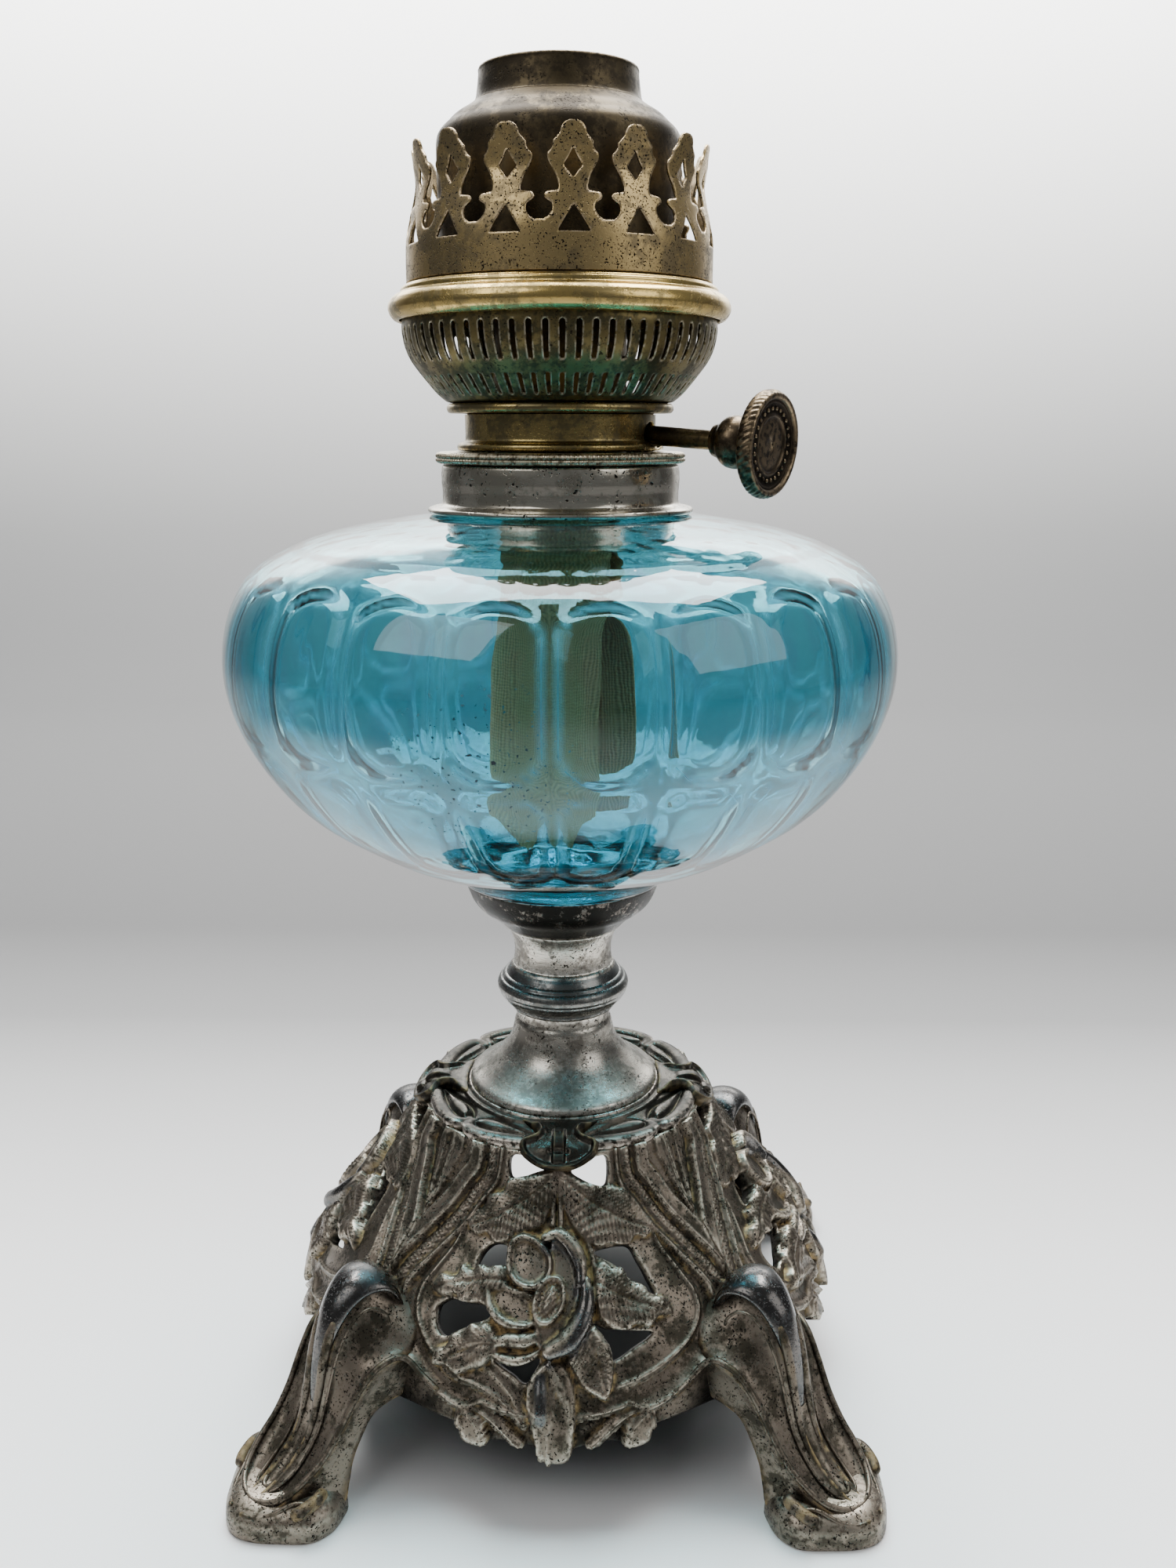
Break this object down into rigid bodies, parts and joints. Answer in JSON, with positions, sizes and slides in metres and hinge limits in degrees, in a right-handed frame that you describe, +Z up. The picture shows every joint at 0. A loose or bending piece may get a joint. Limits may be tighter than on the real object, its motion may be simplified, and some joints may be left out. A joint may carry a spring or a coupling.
{
  "type": "kerosene table lamp",
  "caption": "Table lamp with an openwork cast foot, turned stem, blue glass font and a round-wick burner with slotted basket and fleur crown.",
  "frame": {"origin": "middle of the foot on the table, under the lamp's upright middle line", "axes": "+Z up, -Y towards the front panel, +X to the right; the wick knob points between +X and -Y"},
  "size_m": [0.1614, 0.1614, 0.3222],
  "materials": {
    "spelter": "cast spelter, worn silver plate, brown tarnish",
    "plate": "cast spelter, worn silver plate",
    "stem": "turned white metal, scratched",
    "cup": "spun white metal, dark tarnish",
    "steel": "plain steel",
    "plaster": "set plaster",
    "glass": "turquoise blue pressed glass",
    "nickel": "nickel silver, pitted",
    "brass": "aged brass",
    "brass_dark": "dark brown brass",
    "wick": "woven cotton tape"
  },
  "bodies": {
    "lamp": {"base_plate": "plate", "leg_front_left": "spelter", "leg_front_right": "spelter", "leg_back_right": "spelter", "leg_back_left": "spelter", "panel_front": "spelter", "panel_right": "spelter", "panel_back": "spelter", "panel_left": "spelter", "stem_bell": "stem", "stem_knop": "cup", "stem_spool": "stem", "font_cup": "cup", "cup_cement": "plaster", "tie_rod": "steel", "cup_nut": "steel", "base_nut": "steel", "glass_font": "glass", "font_collar": "nickel", "collar_sleeve": "brass", "collar_cement": "plaster"},
    "screw_ring": {"screw_ring": "brass"},
    "burner": {"burner_body": "brass_dark", "basket_seat": "brass_dark", "air_basket": "brass_dark", "outer_wick_tube": "brass", "inner_air_tube": "brass", "shaft_bearing": "brass"},
    "gallery": {"gallery_ring": "brass", "gallery_crown": "brass", "chimney_plate": "brass_dark", "burner_dome": "brass_dark", "dome_neck": "brass_dark"},
    "wick_drive": {"wick_shaft": "brass_dark", "spur_wheels": "brass_dark", "knob_hub": "brass_dark", "wick_knob": "brass_dark"},
    "wick": {"wick": "wick"}
  },
  "joints": [
    {"name": "screw_rise", "type": "slide", "parent": "lamp", "child": "screw_ring", "axis": [0, 0, 1], "range_m": [0, 0.00702]},
    {"name": "burner_turn", "type": "hinge", "parent": "screw_ring", "child": "burner", "pos_m": [0, 0, 0.2399], "axis": [0, 0, 1], "range_deg": [0, 1260]},
    {"name": "gallery_lift", "type": "slide", "parent": "burner", "child": "gallery", "axis": [0, 0, 1], "range_m": [0, 0.05]},
    {"name": "knob_turn", "type": "hinge", "parent": "burner", "child": "wick_drive", "pos_m": [0.00308, 0.00456, 0.245], "axis": [0.8275, -0.5582, -0.061], "range_deg": [-44, 70]},
    {"name": "wick_rise", "type": "slide", "parent": "burner", "child": "wick", "axis": [0, 0, 1], "range_m": [-0.005, 0.008]}
  ],
  "couplings": [
    {"joint": "screw_rise", "follows": "burner_turn", "m_per_rad": 0.00031831},
    {"joint": "wick_rise", "follows": "knob_turn", "m_per_rad": 0.0065}
  ]
}
